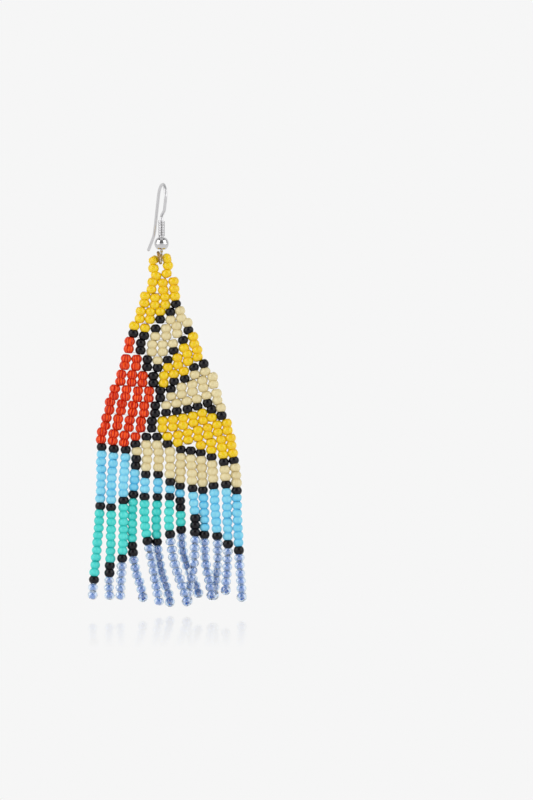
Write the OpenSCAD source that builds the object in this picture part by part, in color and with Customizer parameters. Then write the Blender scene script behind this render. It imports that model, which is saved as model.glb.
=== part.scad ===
// Beaded dangle earring: a French ear wire, and a drop that hangs in its eye.
// The drop is a stitched panel of seed beads with a fringe of thirteen bead strings.
// Millimetres. Z is up, X runs across the panel and -Y is its front.
// The origin is the inside top of the bow, straight above the drop, where it rests on the ear.

/* [Ear wire] */
// Thickness of the wire
wire_d = 0.65; // [0.6:0.01:0.7]
// Radius of the bow's back half, to the middle of the wire
bow_r = 4.2; // [4:0.1:4.6]
// Radius of its tighter front half
bow_front_r = 2.35; // [2.2:0.05:2.6]
// Length of the straight leg behind the ear
leg_l = 7.66; // [6:0.02:9]
// Length of the straight tail at the free end
tail_l = 5; // [4:0.1:6]
// Turn of the ear wire about the vertical, away from the panel's side view
hook_turn = 14; // [0:1:25]

/* [Coil, ball and eye] */
// Length of the wound coil
coil_l = 3.56; // [2.8:0.04:4]
// Turns of the coil
coil_turns = 9; // [6:1:10]
// Diameter of the ball
ball_d = 3.05; // [2.6:0.05:3.2]
// Height of the ball between its two flats
ball_h = 2.54; // [2:0.02:2.56]
// Outer diameter of the eye
eye_d = 3.15; // [2.9:0.05:3.4]

/* [Seed beads] */
// Diameter of a seed bead
bead_d = 1.95; // [1.8:0.05:2]
// Distance from bead to bead along a string
bead_pitch = 1.55; // [1.45:0.05:1.6]
// Thickness of the nylon thread
thread_d = 0.3; // [0.2:0.05:0.35]

/* [Hidden] */
// Round bodies are true cylinders, balls and arcs at any of these numbers.
$fn = 32;
// Gap between pieces that lie against each other, at the ends of the short thread,
// between the thread and the eye, round the wire in a bore, and between two coil turns
gap = 0.04;
thread_gap = 0.01;
rest_gap = 0.03;
bore_gap = 0.025;
turn_gap = 0.015;
wire_r = wire_d / 2;
thread_r = thread_d / 2;
// Bending draws the wire a hair thinner, and each straight stretch closes over the bend's end.
bent_r = wire_r - 0.004;
seam = 0.02;

// Bends of the ear wire, in degrees, from the top of the bow forward to the shank,
// and from the top of the bow back to the tail
bow_front_turn = 114;
kink_turn = 42.5;
shank_turn = bow_front_turn + kink_turn - 90;
bow_back_turn = 65.3;
flare_turn = 34.6;
kink_r = 0.8;
shank_bend_r = 0.55;
flare_r = 4;
// The straight stretches on top of the bow and between the bow and the kink
bow_top_l = 0.3;
kink_l = 2.05;

// The middle of the bow's back half lies this far in front of the shank.
bow_forward = 1.05;
bow_inner_r = bow_r - bent_r;
bow_z = -sqrt(pow(bow_inner_r, 2) - pow(bow_forward, 2));
end_turn = bow_front_turn + kink_turn;
// The slanted stretch between the kink and the shank brings the wire back over the drop.
slant_l = (bow_forward + bow_top_l + bow_front_r * sin(bow_front_turn) + kink_l * cos(bow_front_turn)
    + kink_r * (sin(end_turn) - sin(bow_front_turn))
    - shank_bend_r * (1 - sin(end_turn))) / -cos(end_turn);
shank_z = bow_z + bow_r - bow_front_r * (1 - cos(bow_front_turn)) - kink_l * sin(bow_front_turn)
    + kink_r * (cos(end_turn) - cos(bow_front_turn))
    - slant_l * sin(end_turn) + shank_bend_r * cos(end_turn);

// Heights down the shank: the coil starts under a short stretch of bare shank.
coil_z = -7.046;
ball_z = coil_z - coil_l - gap - ball_h / 2;
eye_r = eye_d / 2 - bent_r;
eye_z = ball_z - ball_h / 2 - gap - eye_d / 2;
shank_l = shank_z - eye_z - eye_r;
bore_r = wire_r + bore_gap;
coil_wire_d = coil_l / coil_turns - turn_gap;

// The eye: from the shank the wire turns back and down to a short straight foot that lies
// a little aside, and rises again in front, where its free end leans off and stops short.
eye_shift = -0.2;
foot_l = 0.1;
foot_z = eye_z - eye_r;
back_lean = asin(-eye_shift / (2 * eye_r));
back_past_top = 14;
free_lean = 13;
free_short_of_top = 26;

// The thread rests in the bottom of the eye, and the whole drop is set out from it.
thread_z = foot_z + wire_r + thread_r + rest_gap;

// The top loop's two legs: x and z of each bead, from the thread
LEGS = [
    [[-1.6, 0.1], [-1.7, -1.6], [-1.1, -3.1]],
    [[1.2, 0.1], [1.4, -1.2], [1.0, -2.7]]
];
// The thread shows between the two top beads.
thread_left = LEGS[0][0][0] + bead_d / 2 + thread_gap;
thread_right = LEGS[1][0][0] - bead_d / 2 - thread_gap;

// Rows of the panel, from the thread: x of the first and last stack, how far the wider
// beads on the left push the row's middle to the right, and z at five even places along it
LEFT_X = 0;
RIGHT_X = 1;
PUSH = 2;
ROW_Z = 3;
FIRST_ROW_STACKS = 3;
ROWS = [
    [-1.9, 2.5, 0, [-4.5, -4.5, -4.6, -4.4, -4.3]],
    [-3.4, 2.8, 0, [-7.4, -7.7, -7.7, -7.6, -7.5]],
    [-4.4, 3.9, 0, [-10.6, -10.7, -10.7, -10.8, -10.5]],
    [-5.7, 5.4, 0, [-13.7, -14.2, -14.3, -13.9, -13.0]],
    [-6.7, 6.6, 0.3, [-16.9, -17.4, -17.6, -17.1, -15.9]],
    [-7.7, 7.4, 0.3, [-20.5, -20.7, -20.9, -20.2, -18.7]],
    [-8.4, 8.9, 0.2, [-23.8, -24.1, -24.1, -23.2, -21.7]],
    [-9.8, 10.7, 0.4, [-26.8, -27.3, -27.1, -26.1, -24.4]],
    [-11.0, 11.8, 0.5, [-29.7, -30.4, -30.3, -29.3, -27.8]],
    [-11.7, 12.6, 0.7, [-33.0, -33.6, -33.5, -32.4, -30.9]],
    [-12.5, 13.8, 0.6, [-36.0, -36.9, -36.9, -35.6, -34.1]]
];
LAST_ROW = len(ROWS) - 1;
// Half height of one bead in a stack, the longer reach of a bead of the top loop,
// and the web between the stacks
bead_half = bead_pitch / 2 - 0.055;
leg_bead_h = 1.15 * bead_pitch;
web_t = 1.1;
web_above = 0.4;
web_below = 1.3;
last_web_below = 0.4;

// Routes of the fringe, from the thread: z of the bottom end, x at five even heights
// from the panel down to there, and y at the same heights
END_Z = 0;
ROUTE_X = 1;
ROUTE_Y = 2;
STRINGS = [
    [-71.0, [-12.6, -12.7, -13.1, -13.9, -14.6], [0, 0.1, 0.1, 0, 0.1]],
    [-71.1, [-10.0, -10.6, -10.7, -10.8, -10.9], [0, 0, -0.1, 0.1, 0]],
    [-71.1, [-7.6, -8.1, -8.2, -8.4, -8.7], [0, 0, 0.1, -0.2, 0]],
    [-71.5, [-5.3, -5.9, -6.3, -6.0, -3.8], [0, 0.3, 0.4, 0.4, 0.2]],
    [-72.2, [-3.0, -3.5, -3.5, -2.0, -0.6], [0, 0, -0.1, -0.6, -0.7]],
    [-72.4, [-0.7, -0.9, -1.1, -0.1, 2.1], [0, 0.3, 0.4, 0.9, 0.9]],
    [-72.3, [1.7, 1.8, 1.6, 2.8, 5.5], [0, 0, -0.2, -1.0, -2.1]],
    [-70.5, [4.1, 3.9, 4.0, 4.9, 8.0], [0, 0.4, 0.5, 1.3, 1.8]],
    [-72.0, [6.1, 6.4, 7.0, 6.7, 5.4], [0, 0, 0, -0.9, 0.4]],
    [-71.1, [8.2, 8.5, 9.0, 9.3, 11.0], [0, 0.2, 0.3, 0, -1.0]],
    [-70.9, [10.3, 10.8, 11.4, 11.9, 11.5], [0, 0, 0, 0.4, 1.2]],
    [-70.0, [12.4, 13.5, 13.9, 14.1, 13.6], [0, -0.2, 0, 0.1, 0]],
    [-71.3, [14.4, 15.7, 16.1, 16.5, 17.0], [0, 0.1, 0, 0, 0]]
];
STRING_COLOURS = [
    "turquoise", "turquoise", "turquoise", "mediumturquoise", "turquoise",
    "mediumturquoise", "cornflowerblue", "cornflowerblue", "cornflowerblue",
    "skyblue", "skyblue", "skyblue", "skyblue"
];
TUBE_SIDES = 8;
TUBE_RINGS = 9;

function string_name(i) = str("fringe_strand_", i < 9 ? "0" : "", i + 1);

// Bends the wire like a bending tool: each step starts at the origin, heads along +X
// and puts its children where it ends, heading on. A bend turns down, and bend_up turns up.
module straight(l) {
    translate([-seam, 0, 0]) rotate([0, 90, 0]) cylinder(r = wire_r, h = l + 2 * seam);
    translate([l, 0, 0]) children();
}

module arc(r, turn) {
    translate([0, 0, -r]) rotate([90, 0, 0]) rotate([0, 0, 90 - turn])
        rotate_extrude(angle = turn) translate([r, 0]) circle(r = bent_r);
}

module at_end(r, turn) {
    translate([r * sin(turn), 0, r * cos(turn) - r]) rotate([0, turn, 0]) children();
}

module bend(r, turn) {
    arc(r, turn);
    at_end(r, turn) children();
}

module bend_up(r, turn) {
    mirror([0, 0, 1]) bend(r, turn) mirror([0, 0, 1]) children();
}

// The bow is egg-shaped, tighter in front. From its front end the wire kinks back to the
// shank, and from its back end it runs down behind the ear. +X is forward here.
module bow_and_ends() {
    straight(bow_top_l)
        bend(bow_front_r, bow_front_turn)
        straight(kink_l)
        bend(kink_r, kink_turn)
        straight(slant_l)
        bend_up(shank_bend_r, shank_turn)
        straight(shank_l);
    mirror([1, 0, 0])
        bend(bow_r, bow_back_turn)
        straight(leg_l)
        bend_up(flare_r, flare_turn)
        straight(tail_l);
}

// One side of the eye, from the angle start round by turn, leaning over from the foot.
// The angle is 270 at the foot and 90 at the top.
module eye_side(y, lean, start, turn) {
    translate([0, y, 0]) rotate([0, lean, 0]) translate([0, 0, eye_r]) rotate([90, 0, 90])
        rotate([0, 0, start]) rotate_extrude(angle = turn)
            translate([eye_r, 0]) circle(r = bent_r);
}

module eye() {
    translate([eye_shift, 0, foot_z]) {
        eye_side(foot_l / 2, back_lean, 270, 180 + back_past_top);
        eye_side(-foot_l / 2, -free_lean, 90 + free_short_of_top, 180 - free_short_of_top);
        rotate([90, 0, 0]) cylinder(r = wire_r, h = foot_l + 2 * seam, center = true);
    }
}

// One wire from the eye up the shank, over the bow and down to the tail
module ear_hook() {
    color("silver") {
        rotate([0, 0, hook_turn - 90]) translate([bow_forward, 0, bow_z + bow_r]) bow_and_ends();
        eye();
    }
}

// Close turns of finer wire, drawn as rounded ribs on a thin sleeve
module hook_coil() {
    pitch = coil_l / coil_turns;
    color("silver") translate([0, 0, coil_z - coil_l]) rotate_extrude() {
        translate([bore_r, 0]) square([coil_wire_d / 2, coil_l]);
        for (i = [0 : coil_turns - 1])
            translate([bore_r + coil_wire_d / 2, pitch * (i + 0.5)]) circle(d = coil_wire_d);
    }
}

// A ball with a flat at each end of its bore
module hook_ball() {
    color("silver") translate([0, 0, ball_z]) difference() {
        intersection() {
            sphere(d = ball_d);
            cylinder(r = ball_d, h = ball_h, center = true);
        }
        cylinder(r = bore_r, h = ball_d, center = true);
    }
}

// The short run of thread that crosses the eye between the two top beads
module hanging_thread() {
    color("white") translate([thread_left, 0, thread_z]) rotate([0, 90, 0])
        cylinder(r = thread_r, h = thread_right - thread_left);
}

// A smooth curve through five even values: between two of them it is the cubic
// whose slope at each value is half the step between that value's neighbours.
function held(v, i) = v[min(max(i, 0), len(v) - 1)];
function cubic(a, b, c, d, t) = b + t * ((c - a) / 2
    + t * (a - 2.5 * b + 2 * c - d / 2 + t * (1.5 * (b - c) + (d - a) / 2)));
function along(v, s) = let (at = s * (len(v) - 1), i = min(floor(at), len(v) - 2))
    cubic(held(v, i - 1), v[i], v[i + 1], held(v, i + 2), at - i);

function stacks(row) = FIRST_ROW_STACKS + row;
function row_x(row, s) = ROWS[row][LEFT_X] + (ROWS[row][RIGHT_X] - ROWS[row][LEFT_X]) * s
    + 4 * ROWS[row][PUSH] * s * (1 - s);
function row_z(row, s) = along(ROWS[row][ROW_Z], s);
function shares(row) = [for (i = [0 : stacks(row) - 1]) i / (stacks(row) - 1)];

// Two beads one above the other, as one rib
module stack_rib(x, z) {
    translate([x, 0, z - bead_pitch - bead_half])
        cylinder(d = bead_d, h = bead_pitch + 2 * bead_half);
}

// The web of one row, from above its first beads to below its second ones
module row_web(row) {
    below = row == LAST_ROW ? last_web_below : web_below;
    upper = [for (s = shares(row)) [row_x(row, s), row_z(row, s) + web_above]];
    lower = [for (s = shares(row)) [row_x(row, 1 - s), row_z(row, 1 - s) - bead_pitch - below]];
    polygon(concat(upper, lower));
}

// The web that joins the two legs of the top loop to the first row
module loop_web() {
    left = LEGS[0][2];
    right = LEGS[1][2];
    polygon([left, right, [row_x(0, 1), row_z(0, 1)], [row_x(0, 0), row_z(0, 0)]]);
}

module bead_panel() {
    color("gold") translate([0, 0, thread_z]) {
        rotate([90, 0, 0]) linear_extrude(height = web_t, center = true) {
            loop_web();
            for (row = [0 : LAST_ROW]) row_web(row);
        }
        for (leg = LEGS, bead = leg)
            translate([bead[0], 0, bead[1]]) cylinder(d = bead_d, h = leg_bead_h, center = true);
        for (row = [0 : LAST_ROW], s = shares(row)) stack_rib(row_x(row, s), row_z(row, s));
    }
}

// One string of the fringe as a tube that starts under its own stack of the last row,
// a ring of corners at each of its even heights
module fringe_strand(i) {
    route = STRINGS[i];
    top_z = row_z(LAST_ROW, i / (len(STRINGS) - 1)) - bead_pitch - bead_half - gap;
    corner_turn = 360 / TUBE_SIDES;
    last = TUBE_RINGS - 1;
    points = [for (k = [0 : last], c = [0 : TUBE_SIDES - 1])
        let (s = k / last, turn = corner_turn * (c + 0.5))
        [
            along(route[ROUTE_X], s) + bead_d / 2 * cos(turn),
            along(route[ROUTE_Y], s) + bead_d / 2 * sin(turn),
            top_z + (route[END_Z] - top_z) * s
        ]];
    top = [for (c = [TUBE_SIDES - 1 : -1 : 0]) c];
    bottom = [for (c = [0 : TUBE_SIDES - 1]) last * TUBE_SIDES + c];
    sides = [for (k = [0 : last - 1], c = [0 : TUBE_SIDES - 1])
        let (next = (c + 1) % TUBE_SIDES, above = k * TUBE_SIDES, below = above + TUBE_SIDES)
        [above + c, above + next, below + next, below + c]];
    color(STRING_COLOURS[i]) translate([0, 0, thread_z])
        polyhedron(points = points, faces = concat([top, bottom], sides));
}

ear_hook();
hook_coil();
hook_ball();
hanging_thread();
bead_panel();
for (i = [0 : len(STRINGS) - 1])
    fringe_strand(i);
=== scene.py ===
import bpy
import numpy as np
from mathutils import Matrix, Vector


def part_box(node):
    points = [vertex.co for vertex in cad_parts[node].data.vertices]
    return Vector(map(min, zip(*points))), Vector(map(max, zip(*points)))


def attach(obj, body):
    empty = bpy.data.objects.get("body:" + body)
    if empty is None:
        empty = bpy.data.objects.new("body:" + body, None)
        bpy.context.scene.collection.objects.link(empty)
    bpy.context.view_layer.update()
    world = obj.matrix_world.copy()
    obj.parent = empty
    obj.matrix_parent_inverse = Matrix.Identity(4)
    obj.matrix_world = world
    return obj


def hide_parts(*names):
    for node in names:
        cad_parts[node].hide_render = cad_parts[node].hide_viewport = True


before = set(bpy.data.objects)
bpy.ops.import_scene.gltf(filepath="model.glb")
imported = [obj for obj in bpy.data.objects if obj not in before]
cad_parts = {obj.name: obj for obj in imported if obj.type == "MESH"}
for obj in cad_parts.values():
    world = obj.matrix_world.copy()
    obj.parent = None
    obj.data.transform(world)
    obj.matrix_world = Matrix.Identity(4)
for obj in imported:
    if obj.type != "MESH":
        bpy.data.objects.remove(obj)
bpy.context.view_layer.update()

# Ear wire. One length of 0.65 mm wire, bent on a jig and then silver plated: a round eye at its foot,
# a straight shank that stands bare above the coil, a kink forward, a bow over the ear that is tighter
# in front than behind, and a leg that flares out behind it. Sizes are in mm and turns in degrees.
MM = 0.001
WIRE_R = 0.325
# The eye: its foot stands a little to the left of the shank, and its free side leans left from there
EYE_R = 1.254
EYE_FOOT = 0.1
EYE_SHIFT = -0.2
FREE_LEAN = 13
FREE_TURN = 154
BACK_TURN = 160
NECK_TURN = 70
SHANK_BEND_R = 0.55
KINK_R = 0.8
BOW_R = 4.2
BOW_FRONT_R = 2.35
BOW_TOP_L = 0.3
FLARE_R = 4.0
SLANT_L = 2.094
KINK_L = 2.05
BARE_SHANK_L = 0.586
LEG_L = 7.66
TAIL_L = 5.0
KINK_TURN = 42.5
FLARE_TURN = 34.6
BOW_FRONT_TURN = 114
BOW_BACK_TURN = 65.3
SHANK_TURN = BOW_FRONT_TURN + KINK_TURN - 90
HOOK_TURN = 14
FILED_END = 0.24
FILED_TIP = 0.02
WIRE_SIDES = 20
RINGS_PER_MM = 11


def box_mm(node):
    """Lowest and highest corner of a node of the frame, in mm."""
    low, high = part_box(node)
    return np.array(low) / MM, np.array(high) / MM


def bend(radius, turn):
    """One step of the bending tool: the length of the bend, and its turn in degrees."""
    return radius * np.radians(abs(turn)), turn


def bent_wire(steps, heading):
    """Middle line of a bent wire. Its heading changes evenly over each step of a length and a turn,
    and its place is the running sum of the heading's cosine and sine times the length gone."""
    lengths, turns = np.array(steps).T
    marks = np.concatenate([[0], np.cumsum(lengths)])
    headings = np.radians(heading + np.concatenate([[0], np.cumsum(turns)]))
    gone = np.linspace(0, marks[-1], round(marks[-1] * RINGS_PER_MM))
    now = np.interp(gone, marks, headings)
    pace = np.stack([np.cos(now), np.sin(now)], axis=1)
    moves = (pace[1:] + pace[:-1]) / 2 * np.diff(gone)[:, None]
    return gone, marks, np.concatenate([[[0, 0]], np.cumsum(moves, axis=0)])


def net(rings, sides, closed=False):
    """Four-cornered faces between the points of neighbouring rings. Each ring closes on itself,
    and closed joins the last ring to the first."""
    ring, side = np.meshgrid(np.arange(rings if closed else rings - 1), np.arange(sides), indexing="ij")
    ring_on, side_on = (ring + 1) % rings, (side + 1) % sides
    here, there = ring * sides, ring_on * sides
    corners = [here + side, here + side_on, there + side_on, there + side]
    return np.stack(corners, axis=-1).reshape(-1, 4)


def lid(sides):
    """Four-cornered faces in a row that close a ring: each takes two corners from either half."""
    low = np.arange(sides // 2 - 1)
    return np.stack([low, low + 1, sides - 2 - low, sides - 1 - low], axis=-1)


def tube(path, radius, across, sides):
    """Tube along a path: each ring is the radius times (cosine of the turn times S plus its sine times
    B), where S is square to the path and to the vector across, and B is square to the path and S."""
    ahead = np.gradient(path, axis=0)
    ahead /= np.linalg.norm(ahead, axis=1, keepdims=True)
    aside = np.cross(ahead, across)
    aside /= np.linalg.norm(aside, axis=1, keepdims=True)
    turn = np.linspace(0, 2 * np.pi, sides, endpoint=False)[:, None]
    ring = np.cos(turn) * aside[:, None] + np.sin(turn) * np.cross(ahead, aside)[:, None]
    points = path[:, None] + np.broadcast_to(radius, len(path))[:, None, None] * ring
    last = (len(path) - 1) * sides
    faces = np.concatenate([net(len(path), sides), lid(sides)[:, ::-1], last + lid(sides)])
    return points.reshape(-1, 3), faces


def filed(gone, wire_r):
    """Radius along a wire whose ends are filed round: a quarter circle up to the full radius."""
    left = np.clip(np.minimum(gone, gone[-1] - gone) / FILED_END, FILED_TIP, 1)
    return wire_r * np.sqrt(1 - (1 - left) ** 2)


def make_piece(name, points, faces, *finishes):
    """Mesh object at the origin from points in mm, smooth shaded, with its finishes in order."""
    mesh = bpy.data.meshes.new(name)
    mesh.from_pydata((points * MM).tolist(), [], faces.tolist())
    mesh.shade_smooth()
    for finish in finishes:
        mesh.materials.append(finish.data)
    piece = bpy.data.objects.new(name, mesh)
    bpy.context.scene.collection.objects.link(piece)
    return piece


class Value:
    """A socket of a finish. A sum written with it adds the Math node that works it out."""

    def __init__(self, finish, socket):
        self.finish = finish
        self.socket = socket

    def maths(self, operation, first, second):
        return self.finish.node("Math", {"operation": operation}, {0: first, 1: second})

    def __add__(self, other):
        return self.maths("ADD", self, other)

    def __radd__(self, other):
        return self.maths("ADD", other, self)

    def __sub__(self, other):
        return self.maths("SUBTRACT", self, other)

    def __rsub__(self, other):
        return self.maths("SUBTRACT", other, self)

    def __mul__(self, other):
        return self.maths("MULTIPLY", self, other)

    def __rmul__(self, other):
        return self.maths("MULTIPLY", other, self)


class Finish:
    """A material, or the room's light, as it is mixed node by node."""

    def __init__(self, name, library=bpy.data.materials):
        self.data = library.new(name)
        self.data.use_nodes = True
        self.tree = self.data.node_tree
        self.tree.nodes.clear()

    def node(self, kind, settings=None, sockets=None, output=0):
        """Adds a node, makes its settings, then fills its sockets with numbers, colours or links."""
        made = self.tree.nodes.new("ShaderNode" + kind)
        for setting, value in (settings or {}).items():
            setattr(made, setting, value)
        for socket, value in (sockets or {}).items():
            if isinstance(value, Value):
                self.tree.links.new(value.socket, made.inputs[socket])
            else:
                made.inputs[socket].default_value = value
        return Value(self, made.outputs[output]) if made.outputs else None

    def blended(self, share, first, second):
        """A colour that goes from first to second as share goes from 0 to 1."""
        return self.node("Mix", {"data_type": "RGBA"}, {0: share, 6: first, 7: second}, output=2)

    def surface(self, **sockets):
        """Ends the material in one shader with these sockets, whose names have _ for a space."""
        named = {name.replace("_", " "): value for name, value in sockets.items()}
        shader = self.node("BsdfPrincipled", sockets=named)
        self.node("OutputMaterial", sockets={"Surface": shader})


SMOOTH = {"interpolation_type": "SMOOTHSTEP"}
PLATE_BRIGHT = (0.70, 0.70, 0.72, 1)
PLATE_DULL = (0.54, 0.53, 0.53, 1)
# Painted reflection: the brown that the eye's free end mirrors from the yellow beads and the dark room
BEAD_REFLECTION_BROWN = (0.34, 0.20, 0.07, 1)
CLOUD_SCALE = 700
CLOUD_DULLNESS = 0.1
MARK_SCALE = 9000
MARK_STRENGTH = 0.14
MARK_DEPTH = 0.02
# Worn eye with a painted reflection: the heights where its wear and the painted brown reflection of the
# beads start and are full, and the same for that painted reflection from side to side
WEAR_AND_REFLECTION_FROM_Z = -13.1
WEAR_AND_REFLECTION_FULL_Z = -13.9
REFLECTION_FROM_X = -0.1
REFLECTION_FULL_X = -0.4
WEAR_POLISH = 0.25


def silver_plate(name, dullness, worn_and_reflecting=False):
    """Silver plate that is brighter and duller in clouds, over the fine marks of drawing or tumbling.
    Worn plate is rubbed bright in the eye, and a painted brown reflection of the yellow beads and the dark
    room darkens the eye's free end."""
    silver = Finish(name)
    here = silver.node("TexCoord", output="Object")
    cloudy = silver.node("TexNoise", sockets={"Vector": here, "Scale": CLOUD_SCALE, "Detail": 3})
    marks = silver.node("TexNoise", sockets={"Vector": here, "Scale": MARK_SCALE, "Detail": 2})
    colour = silver.blended(cloudy, PLATE_BRIGHT, PLATE_DULL)
    if worn_and_reflecting:
        side, level = (silver.node("SeparateXYZ", sockets={"Vector": here}, output=axis) for axis in "XZ")
        in_eye = silver.node("MapRange", SMOOTH, {0: level, 1: WEAR_AND_REFLECTION_FROM_Z * MM, 2: WEAR_AND_REFLECTION_FULL_Z * MM})
        painted_reflection_side = silver.node("MapRange", SMOOTH, {0: side, 1: REFLECTION_FROM_X * MM, 2: REFLECTION_FULL_X * MM})
        dullness = dullness - WEAR_POLISH * in_eye
        # The eye's free end is painted brown, a painted reflection of the beads and the dark room
        colour = silver.blended(in_eye * painted_reflection_side, colour, BEAD_REFLECTION_BROWN)
    silver.surface(
        Base_Color=colour,
        Metallic=1.0,
        Roughness=dullness + CLOUD_DULLNESS * cloudy,
        Normal=silver.node(
            "Bump", sockets={"Strength": MARK_STRENGTH, "Distance": MARK_DEPTH * MM, "Height": marks}
        ),
    )
    return silver


drawn_silver = silver_plate("drawn_silver", dullness=0.26, worn_and_reflecting=True)

hook_low, hook_high = box_mm("ear_hook")
coil_low, coil_high = box_mm("hook_coil")
foot_z = hook_low[2] + WIRE_R
neck_r = (EYE_FOOT / 2 + EYE_R * np.cos(np.radians(NECK_TURN))) / (1 - np.sin(np.radians(90 - NECK_TURN)))
neck_z = foot_z + EYE_R * (1 + np.sin(np.radians(NECK_TURN))) + neck_r * np.cos(np.radians(90 - NECK_TURN))
gone, marks, flat = bent_wire(
    [
        bend(EYE_R, -FREE_TURN),
        (EYE_FOOT, 0),
        bend(EYE_R, -BACK_TURN),
        bend(neck_r, NECK_TURN),
        (coil_high[2] + BARE_SHANK_L - neck_z, 0),
        bend(SHANK_BEND_R, -SHANK_TURN),
        (SLANT_L, 0),
        bend(KINK_R, KINK_TURN),
        (KINK_L, 0),
        bend(BOW_FRONT_R, BOW_FRONT_TURN),
        (BOW_TOP_L, 0),
        bend(BOW_R, BOW_BACK_TURN),
        (LEG_L, 0),
        bend(FLARE_R, -FLARE_TURN),
        (TAIL_L, 0),
    ],
    heading=FREE_TURN - 180,
)
forward = flat[:, 0] - np.interp(marks[4], gone, flat[:, 0])
height = flat[:, 1] - flat[:, 1][gone < marks[3]].min()
in_eye = gone < marks[4]
lean = np.where(gone < marks[1] + EYE_FOOT / 2, -np.tan(np.radians(FREE_LEAN)), -EYE_SHIFT / (2 * EYE_R))
eye_x = np.minimum(EYE_SHIFT + height * lean, 0)
turn_cosine, turn_sine = np.cos(np.radians(HOOK_TURN)), np.sin(np.radians(HOOK_TURN))
wire = np.stack(
    [
        np.where(in_eye, eye_x, forward * turn_sine),
        np.where(in_eye, -forward, -forward * turn_cosine),
        foot_z + height,
    ],
    axis=1,
)
hook_across = np.array([turn_cosine, turn_sine, 0])
ear_wire = make_piece("ear_wire", *tube(wire, filed(gone, WIRE_R), hook_across, WIRE_SIDES), drawn_silver)
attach(ear_wire, "hook")
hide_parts("ear_hook")

# Coil. Nine close turns of finer plated wire, wound tight round the shank.
# Its cut end stands out a little at the upper left.
COIL_TURNS = 9
COIL_WIRE_R = 0.19
COIL_BORE_R = 0.35
COIL_START = 200
END_LIFT = 0.05
COIL_SIDES = 12
COIL_STEPS = 44

turned = np.linspace(0, COIL_TURNS * 2 * np.pi, COIL_TURNS * COIL_STEPS)
coil_r = COIL_BORE_R + COIL_WIRE_R + END_LIFT * np.clip(1 - 2 * turned / np.pi, 0, 1) ** 2
round_shank = np.radians(COIL_START) + turned
coil_path = np.stack(
    [
        coil_r * np.cos(round_shank),
        coil_r * np.sin(round_shank),
        np.interp(turned, turned[[0, -1]], [coil_high[2] - COIL_WIRE_R, coil_low[2] + COIL_WIRE_R]),
    ],
    axis=1,
)
bright_silver = silver_plate("bright_silver", dullness=0.06)
coil = make_piece("shank_coil", *tube(coil_path, COIL_WIRE_R, (0, 0, 1), COIL_SIDES), bright_silver)
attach(coil, "hook")
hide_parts("hook_coil")

# Ball. A plated ball of 3 mm, flattened at both ends of its bore and threaded on the shank
# under the coil.
BALL_SIDES = 48
BALL_RINGS = 27
BALL_FLAT_EDGE = 0.14
BALL_RIM = 0.09
BALL_BORE_R = 0.35


def lathed(profile, sides):
    """Closed body turned round the vertical: each point of the profile, which runs down outside
    and up inside the bore, is carried round at its own radius."""
    turn = np.linspace(0, 2 * np.pi, sides, endpoint=False)
    radius, level = profile.T
    points = np.stack(
        [
            np.outer(np.cos(turn), radius),
            np.outer(np.sin(turn), radius),
            np.broadcast_to(level, (sides, len(profile))),
        ],
        axis=-1,
    )
    return points.reshape(-1, 3), net(sides, len(profile), closed=True)


ball_low, ball_high = box_mm("hook_ball")
ball_r = (ball_high[0] - ball_low[0]) / 2
ball_half = (ball_high[2] - ball_low[2]) / 2
tilt = np.linspace(1, -1, BALL_RINGS) * (np.arcsin(ball_half / ball_r) - BALL_RIM)
round_side = ball_r * np.stack([np.cos(tilt), np.sin(tilt)], axis=1)
flat_edge = ball_r * np.cos(tilt[0]) - BALL_FLAT_EDGE
ball_end = np.array(
    [[flat_edge, ball_half], [BALL_BORE_R + BALL_RIM, ball_half], [BALL_BORE_R, ball_half - BALL_RIM]]
)
ball_profile = np.concatenate([round_side, ball_end * (1, -1), ball_end[::-1]])
ball_points, ball_faces = lathed(ball_profile, BALL_SIDES)
ball_points += (ball_low + ball_high) / 2
ball = make_piece("shank_ball", ball_points, ball_faces, bright_silver)
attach(ball, "hook")
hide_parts("hook_ball")

# Hanging thread. The doubled nylon thread that the drop hangs by: it comes out of one top bead,
# crosses the eye and goes into the other, with its two strands twisted round each other.
THREAD_R = 0.075
PLY_TURNS = 2.5
THREAD_SIDES = 8
THREAD_STEPS = 60
FIBRE_SCALE = 12000
FIBRE_STRENGTH = 0.5
FIBRE_DEPTH = 0.02
FIBRE_DULLNESS = 0.2
NYLON_DULLNESS = 0.45
WAXED_NYLON = (0.86, 0.84, 0.77, 1)
SOILED_NYLON = (0.70, 0.67, 0.58, 1)
# The two top beads that the thread runs between, as x and z from its own height
LEFT_TOP_BEAD = (-1.6, 0.1)
RIGHT_TOP_BEAD = (1.08, 0.5)

thread_low, thread_high = box_mm("hanging_thread")
drop_z = (thread_low[2] + thread_high[2]) / 2

nylon = Finish("nylon_thread")
here = nylon.node("TexCoord", output="Object")
fibres = nylon.node("TexNoise", sockets={"Vector": here, "Scale": FIBRE_SCALE, "Detail": 2})
nylon.surface(
    Base_Color=nylon.blended(fibres, WAXED_NYLON, SOILED_NYLON),
    Roughness=NYLON_DULLNESS + FIBRE_DULLNESS * fibres,
    Normal=nylon.node(
        "Bump", sockets={"Strength": FIBRE_STRENGTH, "Distance": FIBRE_DEPTH * MM, "Height": fibres}
    ),
)


def joined(shapes):
    """Several shapes as one: all points in a row, and each shape's faces counted on from them."""
    counts = np.cumsum([0] + [len(points) for points, faces in shapes[:-1]])
    return (
        np.concatenate([points for points, faces in shapes]),
        np.concatenate([faces + count for (points, faces), count in zip(shapes, counts)]),
    )


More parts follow.
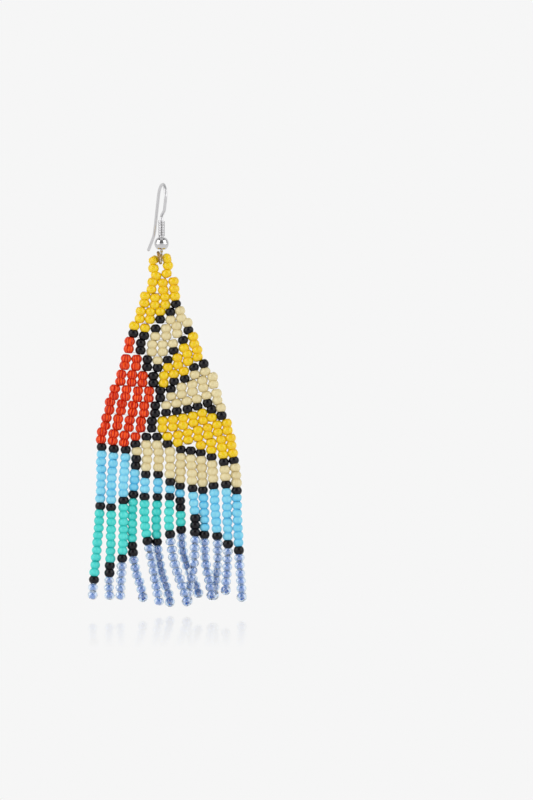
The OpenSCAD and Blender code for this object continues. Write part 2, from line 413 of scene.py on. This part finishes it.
crossed = np.linspace(0, 1, THREAD_STEPS)
dip = 4 * crossed * (1 - crossed)
cross_x, lift = (np.interp(crossed, [0, 1], ends) for ends in zip(LEFT_TOP_BEAD, RIGHT_TOP_BEAD))
plies = []
for side in (0, np.pi):
    ply = side + crossed * PLY_TURNS * 2 * np.pi
    ply_path = np.stack(
        [cross_x, THREAD_R * np.cos(ply), drop_z + lift * (1 - dip) + THREAD_R * np.sin(ply)], axis=1
    )
    plies.append(tube(ply_path, THREAD_R, (0, 1, 0), THREAD_SIDES))
hanging_thread = make_piece("loop_thread", *joined(plies), nylon)
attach(hanging_thread, "drop")
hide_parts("hanging_thread")

# Panel. 182 seed beads in brick stitch: a top loop of six, then eleven rows of stacks of two beads,
# each row one stack wider than the row above it, in a pattern of colour fields with black outlines.
# The beads are cut from drawn glass and tumbled round. No two are quite alike in tone, size or lie.
BEAD_LETTERS = "YCKRSTB"
# Opaque glass: streaks drawn out along the hole, which start afresh in each bead, even stripes, and painted
# shade at the rims of the hole, where the beads meet. Along the hole a bead runs from about -1 to 1
STREAK_SCALE = (3.2, 3.2, 0.35)
STREAK_FROM = 0.4
STREAK_FULL = 0.7
TONE_SHIFT = 40
STRIPE_HEIGHT = 0.12
# Painted shade at the rims of the hole, where the beads meet: where it starts and is full along the hole,
# and how deep it is
RIM_SHADE_FROM = 0.2
RIM_SHADE_FULL = 0.76
RIM_SHADE_DEPTH = 0.35
# The tone holds painted shade for the strings that hang back, and a random tone of each bead; this is how
# far it deepens the colour
TONE_DEPTH = 0.5
GLASS_DULLNESS = 0.03
STREAK_DULLNESS = 0.06


def opaque_glass(name, body, deep, streaks=0.25, stripes=0, gloss=0.45):
    """Opaque glass: the body colour, deepening in streaks that run along the hole, with painted shade
    at the rims of the hole where the beads meet, lighter or darker from bead to bead, and darker on strings
    painted as in shade. Striped glass adds the sine of the angle round the hole times its number of stripes."""
    glass = Finish(name)
    place = glass.node("Attribute", {"attribute_name": "bead_place"}, output="Vector")
    tone = glass.node("Attribute", {"attribute_name": "bead_tone"}, output="Fac")
    drawn_out = glass.node("Mapping", sockets={"Vector": place, "Scale": STREAK_SCALE})
    own_start = TONE_SHIFT * tone
    streak = glass.node(
        "TexNoise",
        {"noise_dimensions": "4D"},
        {"Vector": drawn_out, "W": own_start, "Scale": 1.0, "Detail": 3},
    )
    axes = (glass.node("SeparateXYZ", sockets={"Vector": place}, output=axis) for axis in "XYZ")
    side, front, level = axes
    from_middle = glass.node("Math", {"operation": "ABSOLUTE"}, {0: level})
    # Painted shade: the colour deepens towards both ends of the hole, where the beads meet
    rim_shade = glass.node("MapRange", SMOOTH, {0: from_middle, 1: RIM_SHADE_FROM, 2: RIM_SHADE_FULL})
    if stripes:
        angle = glass.node("Math", {"operation": "ARCTAN2"}, {0: front, 1: side})
        wave = glass.node("Math", {"operation": "SINE"}, {0: stripes * angle + own_start})
        streak = streak + STRIPE_HEIGHT * wave
    band = glass.node("MapRange", SMOOTH, {0: streak, 1: STREAK_FROM, 2: STREAK_FULL})
    depth = streaks * band + RIM_SHADE_DEPTH * rim_shade + TONE_DEPTH * tone
    glass.surface(
        Base_Color=glass.blended(depth, body, deep),
        Roughness=GLASS_DULLNESS + STREAK_DULLNESS * streak,
        IOR=1.52,
        Specular_IOR_Level=gloss,
    )
    return glass


yellow = opaque_glass("yellow_glass", (0.87, 0.65, 0.006, 1), (0.82, 0.44, 0.0, 1))
cream = opaque_glass("cream_glass", (0.81, 0.71, 0.42, 1), (0.64, 0.51, 0.24, 1))
black = opaque_glass("black_glass", (0.003, 0.002, 0.005, 1), (0.001, 0.001, 0.002, 1), gloss=0.26)
red = opaque_glass(
    "red_glass", (1.0, 0.11, 0.012, 1), (0.50, 0.004, 0.0, 1), streaks=1.0, stripes=11, gloss=0.22
)
sky = opaque_glass("sky_glass", (0.29, 0.73, 0.88, 1), (0.06, 0.47, 0.78, 1), gloss=0.4)
teal = opaque_glass("teal_glass", (0.11, 0.77, 0.71, 1), (0.003, 0.50, 0.47, 1), gloss=0.35)

# Clear glass, light blue or bluer from bead to bead, round an opaque blue hole, with a violet sheen painted
# on its edges where it is seen edge-on
SHEEN_EDGE_BLEND = 0.35
SHEEN_EDGE_FROM = 0.45
SHEEN_EDGE_FULL = 0.8
clear = Finish("clear_glass")
tone = clear.node("Attribute", {"attribute_name": "bead_tone"}, output="Fac")
# Painted sheen: where the surface is seen edge-on, the glass is painted violet
slant = clear.node("LayerWeight", sockets={"Blend": SHEEN_EDGE_BLEND}, output="Facing")
edge = clear.node("MapRange", SMOOTH, {0: slant, 1: SHEEN_EDGE_FROM, 2: SHEEN_EDGE_FULL})
# The bluer tint follows the bead tone, which holds painted shade for the strings that hang back
tint = clear.blended(tone, (0.82, 0.92, 1.0, 1), (0.54, 0.76, 1.0, 1))
clear.surface(
    Base_Color=clear.blended(edge, tint, (0.44, 0.38, 0.60, 1)),
    Roughness=0.02,
    IOR=1.5,
    Transmission_Weight=0.94,
    Coat_Weight=1.0,
    Coat_IOR=2.5,
    Coat_Roughness=0.05,
)
lining = Finish("blue_lining")
tone = lining.node("Attribute", {"attribute_name": "bead_tone"}, output="Fac")
lining.surface(
    # Its blue deepens with the bead tone, which holds painted shade for the strings that hang back
    Base_Color=lining.blended(tone, (0.14, 0.40, 0.94, 1), (0.03, 0.26, 0.82, 1)),
    Roughness=0.4,
)
bead_glass = [yellow, cream, black, red, sky, teal, clear, lining]

BEAD_PITCH = 1.55
BEAD_HALF = 0.72
BEAD_SIDES = 8
# Cage of a bead before it is rounded: radius and height, down outside and up inside the hole
BEAD_PROFILE = np.array(
    [(0.42, 0.62), (0.62, 0.96), (1.2, 0.3), (1.2, -0.3), (0.62, -0.96), (0.42, -0.62)]
)
# Width and height of a bead of each colour against the cage
BEAD_SIZE = {"Y": 1.09, "C": 1.10, "K": 1.06, "R": 1.08, "S": 1.04, "T": 1.04, "B": 1.04}
BEAD_TALL = {"Y": 1.13, "C": 1.14, "K": 1.10, "R": 1.12, "S": 1.08, "T": 1.08, "B": 1.01}
# How far beads differ: in width and height as shares, in tilt as a share of the hole's length, in place
# in mm, and in depth of colour as a share
WIDTH_LUCK = 0.018
HEIGHT_LUCK = 0.03
TILT_LUCK = 0.09
PLACE_LUCK = 0.03
TONE_LUCK = 0.4
luck = np.random.default_rng(11)


def held(values, at):
    """The value at a place in a list, or the nearest end's past its ends."""
    return values[np.clip(at, 0, len(values) - 1)]


def along(values, share):
    """Smooth curve through even values: between two of them it is the cubic whose slope at each
    value is half the step between that value's neighbours."""
    values = np.asarray(values, float)
    at = np.asarray(share, float) * (len(values) - 1)
    here = np.minimum(at.astype(int), len(values) - 2)
    t = at - here
    before, start, end, after = (held(values, here + step) for step in (-1, 0, 1, 2))
    return start + t * (
        (end - before) / 2
        + t * (before - 2.5 * start + 2 * end - after / 2 + t * (1.5 * (start - end) + (after - before) / 2))
    )


def strung(name, centres, holes, letters, deepness_and_shade=0.4):
    """Joined beads. One cage, a profile of six points turned in eight steps, is carried to each
    bead's place, with its hole along the given direction and a spin, size, tilt and shift of its own.
    The deepness of their colour is the share given, which on the fringe is painted shade for the strings
    that hang back, and a little more or less from bead to bead."""
    count = len(centres)
    cage, cage_faces = lathed(BEAD_PROFILE, BEAD_SIDES)
    wide = np.array([BEAD_SIZE[letter] for letter in letters]) * luck.normal(1, WIDTH_LUCK, count)
    tall = np.array([BEAD_TALL[letter] for letter in letters]) * luck.normal(1, HEIGHT_LUCK, count)
    stretch = np.stack([wide, wide, tall], axis=1)
    axis = holes + luck.normal(0, TILT_LUCK, (count, 3))
    axis /= np.linalg.norm(axis, axis=1, keepdims=True)
    first = np.cross(axis, luck.normal(0, 1, (count, 3)))
    first /= np.linalg.norm(first, axis=1, keepdims=True)
    turned = np.stack([first, np.cross(axis, first), axis], axis=1)
    middle = centres + luck.normal(0, PLACE_LUCK, (count, 3))
    points = np.einsum("pk,bk,bkj->bpj", cage, stretch, turned) + middle[:, None]
    faces = cage_faces + np.arange(count)[:, None, None] * len(cage)
    piece = make_piece(name, points.reshape(-1, 3), faces.reshape(-1, 4), *bead_glass)
    place = piece.data.attributes.new("bead_place", "FLOAT_VECTOR", "POINT")
    place.data.foreach_set("vector", np.tile(cage, (count, 1)).ravel())
    tone = piece.data.attributes.new("bead_tone", "FLOAT", "POINT")
    # The string's painted shade, plus a random tone of each bead
    deep = (1 - TONE_LUCK) * deepness_and_shade + luck.uniform(0, TONE_LUCK, count)
    tone.data.foreach_set("value", np.repeat(deep, len(cage)))
    glass = np.array([BEAD_LETTERS.index(letter) for letter in letters])
    # The hole's wall is the last face of the profile, where it closes on itself
    in_hole = np.arange(len(cage_faces)) % len(BEAD_PROFILE) == len(BEAD_PROFILE) - 1
    lined = (glass == BEAD_LETTERS.index("B"))[:, None] & in_hole
    indices = np.where(lined, len(BEAD_LETTERS), glass[:, None])
    piece.data.polygons.foreach_set("material_index", indices.ravel())
    rounding = piece.modifiers.new("rounding", "SUBSURF")
    rounding.levels = rounding.render_levels = 1
    return piece


# Rows from the hanging thread: x of the first and last stack, how far the wider red beads push
# the row's middle to the right, and z at five even places along it
ROWS = [
    (-1.9, 2.5, 0, (-4.5, -4.5, -4.6, -4.4, -4.3)),
    (-3.4, 2.8, 0, (-7.4, -7.7, -7.7, -7.6, -7.5)),
    (-4.4, 3.9, 0, (-10.6, -10.7, -10.7, -10.8, -10.5)),
    (-5.7, 5.4, 0, (-13.7, -14.2, -14.3, -13.9, -13.0)),
    (-6.7, 6.6, 0.3, (-16.9, -17.4, -17.6, -17.1, -15.9)),
    (-7.5, 7.4, 0.3, (-20.5, -20.7, -20.9, -20.2, -18.7)),
    (-8.4, 8.9, 0.2, (-23.8, -24.1, -24.1, -23.2, -21.7)),
    (-9.8, 10.7, 0.4, (-26.8, -27.3, -27.1, -26.1, -24.4)),
    (-10.8, 11.5, 0.6, (-29.7, -30.4, -30.3, -29.3, -27.8)),
    (-11.6, 12.4, 0.9, (-33.0, -33.6, -33.5, -32.4, -30.9)),
    (-12.5, 13.6, 0.7, (-36.0, -36.9, -36.9, -35.6, -34.1)),
]
FIRST_ROW_STACKS = 3
STACK_SPREAD = 0.21
ROW_TILT = 0.7
# Black outlines, as corners in x and z from the hanging thread: the trunk, which bounds the red
# field on its left, and five that part the fields on its right
TRUNK = np.array([(-5.0, -16.6), (-3.0, -21.4), (-0.4, -27.9), (-1.9, -34.4), (-3.3, -37.3), (-5.3, -38.3)])
OUTLINES = [
    np.array([(-5.6, -15.3), (-3.2, -15.8), (3.0, -9.2)]),
    np.array([(-0.9, -22.4), (1.0, -20.9), (5.7, -14.5)]),
    np.array([(-0.4, -27.1), (1.6, -27.1), (2.3, -25.6), (4.9, -24.7), (6.8, -22.4), (8.9, -21.6)]),
    np.array([(-1.3, -31.9), (3.3, -31.8), (9.6, -30.0), (10.6, -31.5), (12.6, -32.5)]),
    np.array([(-3.1, -37.2), (-0.8, -37.2), (1.2, -38.3)]),
]
OUTLINE_REACH = 0.72
FIELDS = "YCYCYC"
# The top loop's beads: x and z from the hanging thread, and the tilt of the hole in degrees
LOOP = [
    (*LEFT_TOP_BEAD, 28), (-1.7, -1.6, -6), (-1.1, -3.1, -24),
    (*RIGHT_TOP_BEAD, -78), (1.3, -1.0, -8), (1.1, -2.65, 22),
]


def far_from(spots, line):
    """Distance from each spot to the nearest point of a line of straight stretches."""
    start, step = line[:-1], np.diff(line, axis=0)
    from_start = spots[:, None] - start
    share = np.clip((from_start * step).sum(-1) / (step**2).sum(-1), 0, 1)
    return np.linalg.norm(from_start - share[..., None] * step, axis=-1).min(-1)


def row_stacks(row):
    """Place of each stack of a row and the row's slope there: x, z, slope and share along it."""
    left, right, push, levels = row
    share = np.linspace(0, 1, FIRST_ROW_STACKS + ROWS.index(row))
    x = left + (right - left) * share + 4 * push * share * (1 - share)
    z = along(levels, share)
    return x, z, np.gradient(z, x), share


def panel_letter(x, z):
    """Colour of a bead: black near an outline, red left of the trunk, and else the field that
    the number of outlines above it gives."""
    spots = np.stack([x, z], axis=1)
    near = np.min([far_from(spots, line) for line in [TRUNK, *OUTLINES]], axis=0) < OUTLINE_REACH
    above = np.sum([z < np.interp(x, *line.T) for line in OUTLINES], axis=0)
    left = x < np.interp(-z, -TRUNK[:, 1], TRUNK[:, 0])
    field = np.array(list(FIELDS))[above]
    return np.where(near, "K", np.where(left & (above > 0), "R", field))


spots = []
for row in ROWS:
    x, z, slope, share = row_stacks(row)
    lean = ROW_TILT * np.arctan(slope)
    for bead in (0, 1):
        fall = bead * BEAD_PITCH
        shift = bead * STACK_SPREAD * (2 * share - 1)
        spots.append(np.stack([x + shift, z - fall, np.degrees(lean)], axis=1))
stacked = np.concatenate(spots)
loop = np.array(LOOP)
beads = np.concatenate([loop, stacked])
tilt = np.radians(beads[:, 2])
panel_beads = strung(
    "panel_beads",
    np.stack([beads[:, 0], np.zeros(len(beads)), drop_z + beads[:, 1]], axis=1),
    np.stack([-np.sin(tilt), np.zeros(len(beads)), np.cos(tilt)], axis=1),
    ["Y"] * len(loop) + list(panel_letter(stacked[:, 0], stacked[:, 1])),
)
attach(panel_beads, "drop")
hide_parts("bead_panel")

# Panel thread. Nylon thread stitched through the beads: it goes up through a stack of two, over
# the thread of the row above and back down, then under to the next stack.
STITCH_R = 0.045
STITCH_HALF = 0.14
STITCH_SPACING = 0.08
STITCH_SMOOTHING = 9


def eased(path, spacing, window):
    """A path with evenly spaced points, each the mean of the points about it, so corners round off."""
    lengths = np.linalg.norm(np.diff(path, axis=0), axis=1)
    gone = np.concatenate([[0], np.cumsum(lengths)])
    even = np.linspace(0, gone[-1], max(int(gone[-1] / spacing), 2 * window))
    points = np.stack([np.interp(even, gone, axis) for axis in path.T], axis=1)
    edge = window // 2
    padded = np.concatenate([points[:1].repeat(edge, 0), points, points[-1:].repeat(edge, 0)])
    return np.lib.stride_tricks.sliding_window_view(padded, window, axis=0).mean(-1)


stitches = []
for row in ROWS:
    x, z = row_stacks(row)[:2]
    low_z = z - BEAD_PITCH - BEAD_HALF
    high_z = z + BEAD_HALF
    wave_x = np.stack([x - STITCH_HALF, x - STITCH_HALF, x + STITCH_HALF, x + STITCH_HALF], axis=1)
    wave_z = np.stack([low_z, high_z, high_z, low_z], axis=1)
    wave = np.stack([wave_x.ravel(), np.zeros(wave_x.size), drop_z + wave_z.ravel()], axis=1)
    stitches.append(tube(eased(wave, STITCH_SPACING, STITCH_SMOOTHING), STITCH_R, (0, 1, 0), THREAD_SIDES))
panel_thread = make_piece("panel_thread", *joined(stitches), nylon)
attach(panel_thread, "drop")

# Fringe. Thirteen strings of beads on doubled thread, one from each stack of the last row. The
# thread turns round the lowest bead of each string, which keeps the others on.
# How far the lowest bead of each string is turned on its side
TURN_TILTS = (12, -20, 8, -58, 10, -42, -48, -30, -56, -38, -62, -60, -46)
# Each string: how much lower than the others it starts, z of its lower end from the hanging thread,
# x at five even heights from the panel down to there, y at the same heights, and how deep its colour is
# painted as shade, deepest for the strings that hang back behind their neighbours
STRINGS = [
    (0, -70.9, (-12.6, -12.7, -13.1, -13.8, -14.5), (0, 0.1, 0.1, 0, 0.1), 0.4),
    (0.2, -71.0, (-10.0, -10.5, -10.6, -10.8, -11.0), (0, 0, -0.1, 0.1, 0), 0.4),
    (0, -71.0, (-7.5, -8.0, -8.0, -8.3, -8.7), (0, 0, 0.1, -0.2, 0), 0.1),
    (0, -71.2, (-5.2, -5.8, -6.2, -5.8, -3.8), (0, 0.3, 0.4, 0.4, 0.2), 0.9),
    (0, -72.2, (-2.9, -3.5, -3.4, -1.9, -0.5), (0, 0, -0.1, -0.6, -0.7), 0.3),
    (0, -72.3, (-0.6, -0.8, -1.1, -0.3, 1.9), (0, 0.3, 0.4, 0.9, 0.9), 0.9),
    (0, -72.1, (1.8, 1.8, 1.6, 2.8, 5.5), (0, 0, -0.2, -1.0, -2.1), 0.1),
    (0, -70.5, (4.1, 3.9, 4.0, 4.8, 7.9), (0, 0.4, 0.5, 1.3, 1.8), 0.9),
    (0.7, -72.0, (6.1, 6.5, 7.1, 6.7, 5.4), (0, 0, 0, -0.9, 0.4), 0.1),
    (0, -70.9, (8.2, 8.6, 9.0, 9.2, 10.6), (0, 0.2, 0.3, 0, -1.0), 0.6),
    (0, -70.8, (10.4, 10.8, 11.4, 11.8, 11.0), (0, 0, 0, 0.4, 1.2), 0.3),
    (0, -69.8, (12.5, 13.4, 13.8, 13.9, 13.5), (0, -0.2, 0, 0.1, 0), 0.3),
    (0, -71.2, (14.4, 15.6, 15.9, 16.3, 16.9), (0, 0.1, 0, 0, 0), 0.6),
]
# Beads of each string from the top down: how many, and the colour's letter
STRINGING = [
    "1K 7S 1K 9T 1K 2B",
    "1K 7S 1K 7T 2K 3B",
    "1K 6S 1K 7T 1K 5B",
    "1C 2K 3S 1K 6T 2K 6B",
    "3C 1K 2S 1K 5T 1K 8B",
    "3C 1K 2S 1K 5T 1K 8B",
    "4C 1K 1S 1K 4T 1K 9B",
    "1K 4C 1K 1S 2K 2T 1K 9B",
    "1K 4C 1K 3S 3K 9B",
    "1Y 1K 4C 1K 5S 1K 8B",
    "2Y 1K 3C 1K 6S 1K 8B",
    "3Y 1K 2C 1K 7S 1K 6B",
    "3Y 1K 3C 1K 7S 1K 6B",
]
# Height of a bead of each colour against the others on its string
BEAD_STEP = {"Y": 1, "C": 1, "K": 0.98, "R": 1, "S": 0.99, "T": 0.99, "B": 1.01}
STRING_GAP = 0.04
ROUTE_STEPS = 200
# The lowest bead: how far it tips sideways for each part that it tips forward, and how much lower it
# hangs when it lies on its side
TURN_SIDEWAYS = 0.3
TURN_DROP = 0.24
# The thread: how far each strand is from the middle of the string, its way along the hole of the lowest
# bead, the loop outside that bead, and the spacing and number of points that round off its corners
LINE_APART = 0.11
HOLE_STEPS = (0.7, 0, -0.7, -0.95)
LOOP_OUT = 0.95
LOOP_HALF = 0.57
LINE_SPACING = 0.15
LINE_SMOOTHING = 7

last_z = row_stacks(ROWS[-1])[1]
string_threads = []
for number, ((slack, end_z, route_x, route_y, deepness_and_shade), runs) in enumerate(zip(STRINGS, STRINGING)):
    letters = "".join(int(run[:-1]) * run[-1] for run in runs.split())
    share = np.linspace(0, 1, ROUTE_STEPS)
    top_z = last_z[number] - BEAD_PITCH - BEAD_HALF - STRING_GAP - slack
    route = np.stack(
        [along(route_x, share), along(route_y, share), drop_z + top_z + (end_z - top_z) * share], axis=1
    )
    gone = np.concatenate([[0], np.cumsum(np.linalg.norm(np.diff(route, axis=0), axis=1))])
    steps = np.array([BEAD_STEP[letter] for letter in letters])
    beads_at = (np.cumsum(steps) - steps / 2) / steps.sum() * gone[-1]
    centres = np.stack([np.interp(beads_at, gone, axis) for axis in route.T], axis=1)
    ahead = np.gradient(route, axis=0) / np.gradient(gone)[:, None]
    holes = -np.stack([np.interp(beads_at, gone, axis) for axis in ahead.T], axis=1)
    turn = np.radians(TURN_TILTS[number])
    holes[-1] = (np.sin(turn) * TURN_SIDEWAYS, -np.sin(turn), np.cos(turn))
    centres[-1, 2] -= TURN_DROP * abs(np.sin(turn))
    name = f"fringe_strand_{number + 1:02d}"
    string = strung(f"bead_string_{number + 1:02d}", centres, holes, letters, deepness_and_shade)
    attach(string, "drop")
    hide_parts(name)
    lowest = centres[-1]
    line = np.stack([np.interp(beads_at[:-1], gone, axis) for axis in route.T], axis=1)
    through = lowest + np.outer(HOLE_STEPS, holes[-1] / np.linalg.norm(holes[-1]))
    around = lowest + np.array([(LOOP_OUT, 0, -LOOP_HALF), (LOOP_OUT, 0, LOOP_HALF)])
    way_down, way_up = line - (LINE_APART, 0, 0), line[::-1] + (LINE_APART, 0, 0)
    thread_line = eased(np.concatenate([way_down, through, around, way_up]), LINE_SPACING, LINE_SMOOTHING)
    string_threads.append(tube(thread_line, STITCH_R, (0, 1, 0), THREAD_SIDES))
fringe_thread = make_piece("fringe_thread", *joined(string_threads), nylon)
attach(fringe_thread, "drop")

# Studio. A floor of white paper under the fringe, which faintly mirrors the ends of the strings where
# it is seen from its own level, two wide soft lights at the sides, and one above. The lights leave the
# floor alone, so that it mirrors none of them.
FLOOR_Z = -89.2
FLOOR_HALF_W = 460
PAPER_LEVEL = 0.9216
# The mirror's share, how far from the earring it is whole and gone in mm, how nearly level the floor
# has to be seen for it to start and be whole, and its blur
MIRROR_SHARE = 0.22
MIRROR_NEAR = 90
MIRROR_REACH = 450
MIRROR_FROM = 0.8
MIRROR_FULL = 0.97
MIRROR_BLUR = 0.02

paper = Finish("white_paper")
here = paper.node("TexCoord", output="Object")
away = paper.node("VectorMath", {"operation": "LENGTH"}, {0: here}, output="Value")
share_here = paper.node(
    "MapRange", sockets={0: away, 1: MIRROR_NEAR * MM, 2: MIRROR_REACH * MM, 3: MIRROR_SHARE, 4: 0.0}
)
flatness = paper.node("LayerWeight", sockets={"Blend": 0.5}, output="Facing")
mirror_share = share_here * paper.node("MapRange", sockets={0: flatness, 1: MIRROR_FROM, 2: MIRROR_FULL})
glow = paper.node("Emission", sockets={"Color": (1, 1, 1, 1), "Strength": PAPER_LEVEL})
gloss = paper.node("BsdfGlossy", sockets={"Color": (1, 1, 1, 1), "Roughness": MIRROR_BLUR})
top_face = paper.node("MixShader", sockets={0: mirror_share, 1: glow, 2: gloss})
paper.node("OutputMaterial", sockets={"Surface": top_face})
floor_corners = np.array([(-1, -1, 0), (1, -1, 0), (1, 1, 0), (-1, 1, 0)]) * FLOOR_HALF_W + (0, 0, FLOOR_Z)
paper_floor = make_piece("paper_floor", floor_corners, np.arange(4)[None], paper)
unlit = bpy.data.collections.new("unlit")
unlit.objects.link(paper_floor)
unlit.collection_objects[0].light_linking.link_state = "EXCLUDE"


def soft_light(name, place, width, height, watts):
    """Rectangular soft light at a place in mm, turned to face the middle of the drop."""
    lamp = bpy.data.lights.new(name, "AREA")
    lamp.shape = "RECTANGLE"
    lamp.size = width * MM
    lamp.size_y = height * MM
    lamp.energy = watts
    stand = bpy.data.objects.new(name, lamp)
    bpy.context.scene.collection.objects.link(stand)
    stand.location = Vector(place) * MM
    stand.rotation_euler = (Vector(DROP_MIDDLE) - Vector(place)).to_track_quat("-Z", "Y").to_euler()
    stand.visible_camera = False
    stand.light_linking.receiver_collection = unlit


DROP_MIDDLE = (0, 0, -45)
soft_light("left_light", place=(-606, -350, 150), width=720, height=1080, watts=4.82)
soft_light("right_light", place=(606, -350, 150), width=720, height=1080, watts=4.26)
soft_light("top_light", place=(0, -150, 620), width=500, height=500, watts=0.42)

# The room as the beads mirror it goes from dark in front of the drop to white behind it, with a thin
# white line all round at the floor's level. Seen straight, it is as white as the floor.
ROOM_DARK = 0.18
ROOM_WHITE_FROM = 0.6
WHITE_LINE_HALF = 0.04
WHITE_LINE_END = 0.08

room = Finish("room", bpy.data.worlds)
way = room.node("TexCoord", output="Generated")
toward, up = (room.node("SeparateXYZ", sockets={"Vector": way}, output=axis) for axis in "YZ")
walls = room.node("MapRange", SMOOTH, {0: toward, 1: 0.0, 2: ROOM_WHITE_FROM, 3: ROOM_DARK, 4: PAPER_LEVEL})
steepness = room.node("Math", {"operation": "ABSOLUTE"}, {0: up})
off_line = room.node("MapRange", SMOOTH, {0: steepness, 1: WHITE_LINE_HALF, 2: WHITE_LINE_END})
mirrored = PAPER_LEVEL + off_line * (walls - PAPER_LEVEL)
seen = room.node("LightPath", output="Is Camera Ray")
light = mirrored + seen * (PAPER_LEVEL - mirrored)
background = room.node("Background", sockets={"Color": (1, 1, 1, 1), "Strength": light})
room.node("OutputWorld", sockets={"Surface": background})
bpy.context.scene.world = room.data

# Camera. A long lens straight in front of the drop, level and three metres back, so that the earring
# is seen almost without perspective.
PHOTO_H = 800
MM_PER_PIXEL = 0.21
CAMERA_X = 22.04
CAMERA_Z = -44.78
CAMERA_BACK = 3000
CAMERA_SIGHT = 10000
SENSOR_H = 24

camera_data = bpy.data.cameras.new("camera")
camera_data.sensor_fit = "VERTICAL"
camera_data.sensor_height = SENSOR_H
camera_data.lens = SENSOR_H * CAMERA_BACK / (PHOTO_H * MM_PER_PIXEL)
camera_data.clip_end = CAMERA_SIGHT * MM
camera = bpy.data.objects.new("camera", camera_data)
bpy.context.scene.collection.objects.link(camera)
camera.location = np.array([CAMERA_X, -CAMERA_BACK, CAMERA_Z]) * MM
camera.rotation_euler = (np.pi / 2, 0, 0)
bpy.context.scene.camera = camera
bpy.context.scene.view_settings.view_transform = "Standard"
